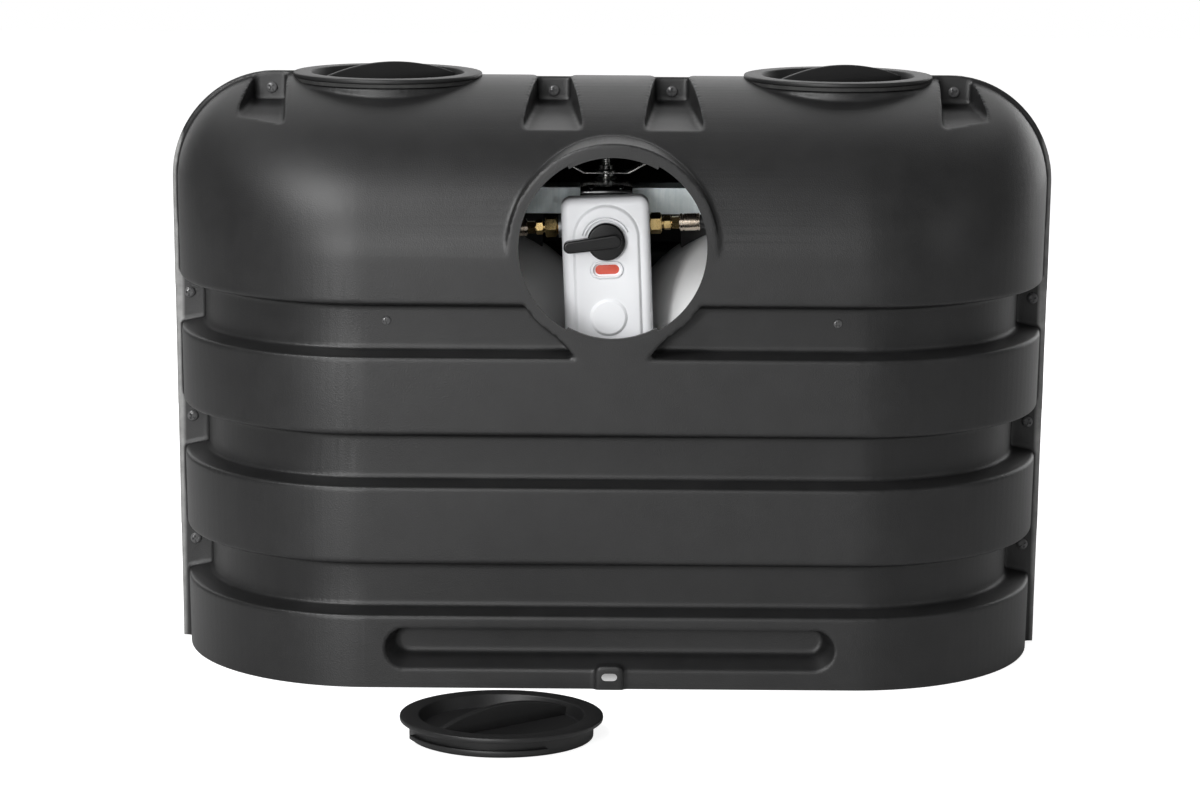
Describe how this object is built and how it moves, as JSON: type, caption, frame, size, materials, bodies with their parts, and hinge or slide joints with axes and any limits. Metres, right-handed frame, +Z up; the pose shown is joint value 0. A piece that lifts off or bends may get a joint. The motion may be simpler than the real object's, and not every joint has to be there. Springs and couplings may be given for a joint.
{
  "type": "gas cylinder cover with changeover regulator",
  "caption": "Black two-half hard cover over a rack with gas cylinders, hold-down bar, changeover regulator and hoses, with twist-lock round lids.",
  "frame": {"origin": "on the floor, under the middle of the seam between the cover's halves, in the flat underside of the rack's tray", "axes": "+X to the right along the cover's length, +Y to the back, +Z up; the window faces -Y"},
  "size_m": [0.7196, 0.5937, 0.4788],
  "materials": {
    "cover_plastic": "moulded, fine grain, satin",
    "black_screw": "black coated, satin",
    "tray_steel": "black powder coat",
    "black_steel": "black coated, satin",
    "zinc": "zinc plated",
    "galvanised": "galvanised, mottled",
    "rubber_black": "matt",
    "hose_rubber": "smooth, slight sheen",
    "cylinder_white": "gloss paint",
    "brass": "machined, lightly tarnished",
    "ferrule_steel": "yellow plated, satin",
    "zinc_casting": "die cast, satin",
    "grey_plastic": "moulded, satin",
    "black_plastic": "moulded, satin",
    "knob_plastic": "moulded, semi gloss",
    "red_plastic": "moulded",
    "clear_lens": "clear, tinted red by the drum behind it"
  },
  "bodies": {
    "rack": {"base_tray": "tray_steel", "centre_rod": "zinc", "rod_base_nut": "zinc", "hold_down_bar": "galvanised", "bar_feet": "rubber_black", "regulator_bracket": "black_steel", "bracket_screws": "zinc", "rod_washer": "zinc", "cylinder_left": "cylinder_white", "cylinder_right": "cylinder_white", "collar_left": "cylinder_white", "collar_right": "cylinder_white", "foot_ring_left": "cylinder_white", "foot_ring_right": "cylinder_white", "valve_left": "brass", "valve_right": "brass", "hose_nipple_left": "brass", "hose_nipple_right": "brass", "hose_left": "hose_rubber", "hose_right": "hose_rubber", "ferrule_left": "ferrule_steel", "ferrule_right": "ferrule_steel", "flare_nut_left": "brass", "flare_nut_right": "brass", "inlet_fitting_left": "brass", "inlet_fitting_right": "brass", "regulator_body": "zinc_casting", "diaphragm": "rubber_black", "main_spring": "zinc", "regulator_bonnet": "zinc_casting", "spring_cap": "black_plastic", "regulator_cover": "grey_plastic", "cover_screws": "zinc", "indicator_lens": "clear_lens"},
    "cover": {"front_shell": "cover_plastic", "rear_shell": "cover_plastic", "side_screws": "black_screw", "top_screws": "black_screw", "bumper_pads": "rubber_black", "bumper_screws": "black_screw"},
    "gasket_left": {"lid_gasket_left": "rubber_black"},
    "gasket_right": {"lid_gasket_right": "rubber_black"},
    "lid_left": {"lid_left": "cover_plastic"},
    "lid_right": {"lid_right": "cover_plastic"},
    "lid_front": {"lid_front": "cover_plastic"},
    "selector": {"selector_knob": "knob_plastic", "selector_spindle": "brass"},
    "indicator": {"indicator_drum": "red_plastic"},
    "wing_nut": {"wing_nut": "zinc"},
    "wheel_left": {"handwheel_left": "black_plastic"},
    "wheel_right": {"handwheel_right": "black_plastic"},
    "nut_left": {"coupling_nut_left": "black_plastic"},
    "nut_right": {"coupling_nut_right": "black_plastic"}
  },
  "joints": [
    {"name": "cover_lift", "type": "slide", "parent": "rack", "child": "cover", "axis": [0, 0, 1], "range_m": [0, 0.5]},
    {"name": "gasket_left_lift", "type": "slide", "parent": "cover", "child": "gasket_left", "axis": [0, 0, 1], "range_m": [0, 0.12]},
    {"name": "gasket_right_lift", "type": "slide", "parent": "cover", "child": "gasket_right", "axis": [0, 0, 1], "range_m": [0, 0.12]},
    {"name": "lid_left_turn", "type": "hinge", "parent": "gasket_left", "child": "lid_left", "pos_m": [-0.1835, 0, 0.4708], "axis": [0, 0, 1], "range_deg": [0, 75]},
    {"name": "lid_right_turn", "type": "hinge", "parent": "gasket_right", "child": "lid_right", "pos_m": [0.1835, 0, 0.4708], "axis": [0, 0, 1], "range_deg": [0, 75]},
    {"name": "lid_front_pick_up", "type": "slide", "parent": "rack", "child": "lid_front", "axis": [0, 0, 1], "range_m": [0, 0.1]},
    {"name": "selector_turn", "type": "hinge", "parent": "rack", "child": "selector", "pos_m": [-0.005, -0.12, 0.3495], "axis": [0, 1, 0], "range_deg": [0, 180]},
    {"name": "indicator_turn", "type": "hinge", "parent": "rack", "child": "indicator", "pos_m": [-0.00404, -0.115, 0.32672], "axis": [0.9991, 0, 0.0419], "range_deg": [0, 90]},
    {"name": "wing_nut_turn", "type": "hinge", "parent": "rack", "child": "wing_nut", "pos_m": [-0.005, 0, 0.39], "axis": [0, 0, 1], "continuous": true},
    {"name": "valve_left_turn", "type": "hinge", "parent": "rack", "child": "wheel_left", "pos_m": [-0.17, 0, 0.419], "axis": [0, 0, 1], "range_deg": [0, 720]},
    {"name": "nut_left_turn", "type": "hinge", "parent": "rack", "child": "nut_left", "pos_m": [-0.19294, -0.03277, 0.392], "axis": [-0.5736, -0.8192, 0], "range_deg": [0, 540]},
    {"name": "valve_right_turn", "type": "hinge", "parent": "rack", "child": "wheel_right", "pos_m": [0.17, 0, 0.419], "axis": [0, 0, 1], "range_deg": [0, 720]},
    {"name": "nut_right_turn", "type": "hinge", "parent": "rack", "child": "nut_right", "pos_m": [0.19294, -0.03277, 0.392], "axis": [0.5736, -0.8192, 0], "range_deg": [0, 540]}
  ]
}
